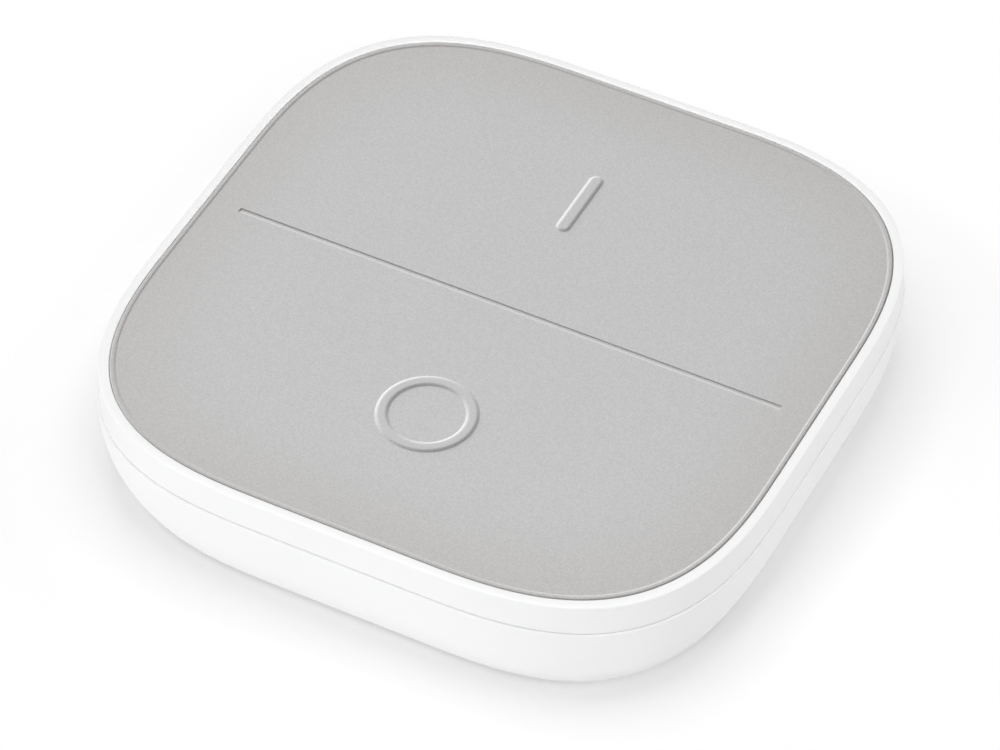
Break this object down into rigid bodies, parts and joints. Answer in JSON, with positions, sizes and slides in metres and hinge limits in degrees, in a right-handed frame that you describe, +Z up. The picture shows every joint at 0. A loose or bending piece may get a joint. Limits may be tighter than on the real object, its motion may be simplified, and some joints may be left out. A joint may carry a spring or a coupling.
{
  "type": "smart button",
  "caption": "Low rounded-square smart button: soft on and off keys hinged on one pin over switches, a radio board and cells, in an upper unit that lifts off a screw-down base cover.",
  "frame": {"origin": "middle of the footprint, on the surface that the feet stand on", "axes": "+X along the fold line between the keys, +Y from the off key (ring) to the on key (bar), +Z up"},
  "size_m": [0.08, 0.08, 0.0158],
  "materials": {
    "housing_white": "satin moulded plastic",
    "foot_rubber": "matt anti-slip rubber",
    "pin_steel": "drawn steel",
    "pad_grey": "soft fine-grained elastomer",
    "plate_plastic": "moulded plastic",
    "black_plastic": "moulded plastic",
    "cell_wrap": "printed film over a steel can",
    "contact_nickel": "nickel plated",
    "board_green": "solder mask over glass fibre",
    "radio_dark": "dark solder mask",
    "trace_gold": "gold plated copper",
    "chip_black": "moulded epoxy",
    "ferrite_grey": "pressed ferrite",
    "ceramic_tan": "fired ceramic"
  },
  "bodies": {
    "base": {"base_cover": "housing_white", "feet": "foot_rubber"},
    "unit": {"upper_housing": "housing_white", "hinge_pin": "pin_steel", "battery_cradle": "black_plastic", "battery_cell_1": "cell_wrap", "battery_cell_2": "cell_wrap", "positive_contact": "contact_nickel", "negative_contact": "contact_nickel", "negative_spring": "contact_nickel", "link_contact": "contact_nickel", "link_spring": "contact_nickel", "circuit_board": "board_green", "board_screws": "pin_steel", "on_switch_base": "black_plastic", "off_switch_base": "black_plastic", "on_switch_cover": "contact_nickel", "off_switch_cover": "contact_nickel", "on_switch_dome": "contact_nickel", "off_switch_dome": "contact_nickel", "switch_leads": "contact_nickel", "radio_board": "radio_dark", "radio_shield": "contact_nickel", "antenna_trace": "trace_gold", "power_converter": "chip_black", "power_inductor": "ferrite_grey", "clock_crystal": "contact_nickel", "chip_capacitors": "ceramic_tan", "chip_resistors": "chip_black"},
    "on_key": {"on_pad": "pad_grey", "on_key_plate": "plate_plastic"},
    "off_key": {"off_pad": "pad_grey", "off_key_plate": "plate_plastic"},
    "on_stem": {"on_switch_stem": "black_plastic"},
    "off_stem": {"off_switch_stem": "black_plastic"}
  },
  "joints": [
    {"name": "unit_lift", "type": "slide", "parent": "base", "child": "unit", "axis": [0, 0, 1], "range_m": [0, 0.03]},
    {"name": "on_press", "type": "hinge", "parent": "unit", "child": "on_key", "pos_m": [0, 0, 0.0126], "axis": [-1, 0, 0], "range_deg": [0, 0.75], "stiffness_Nm_per_rad": 2.9, "springref_deg": -0.11},
    {"name": "off_press", "type": "hinge", "parent": "unit", "child": "off_key", "pos_m": [0, 0, 0.0126], "axis": [1, 0, 0], "range_deg": [0, 0.75], "stiffness_Nm_per_rad": 2.9, "springref_deg": -0.11},
    {"name": "on_click", "type": "slide", "parent": "unit", "child": "on_stem", "axis": [0, 0, -1], "range_m": [0, 0.00025]},
    {"name": "off_click", "type": "slide", "parent": "unit", "child": "off_stem", "axis": [0, 0, -1], "range_m": [0, 0.00025]}
  ],
  "couplings": [
    {"joint": "on_click", "follows": "on_press", "m_per_rad": 0.0188},
    {"joint": "off_click", "follows": "off_press", "m_per_rad": 0.0188}
  ]
}
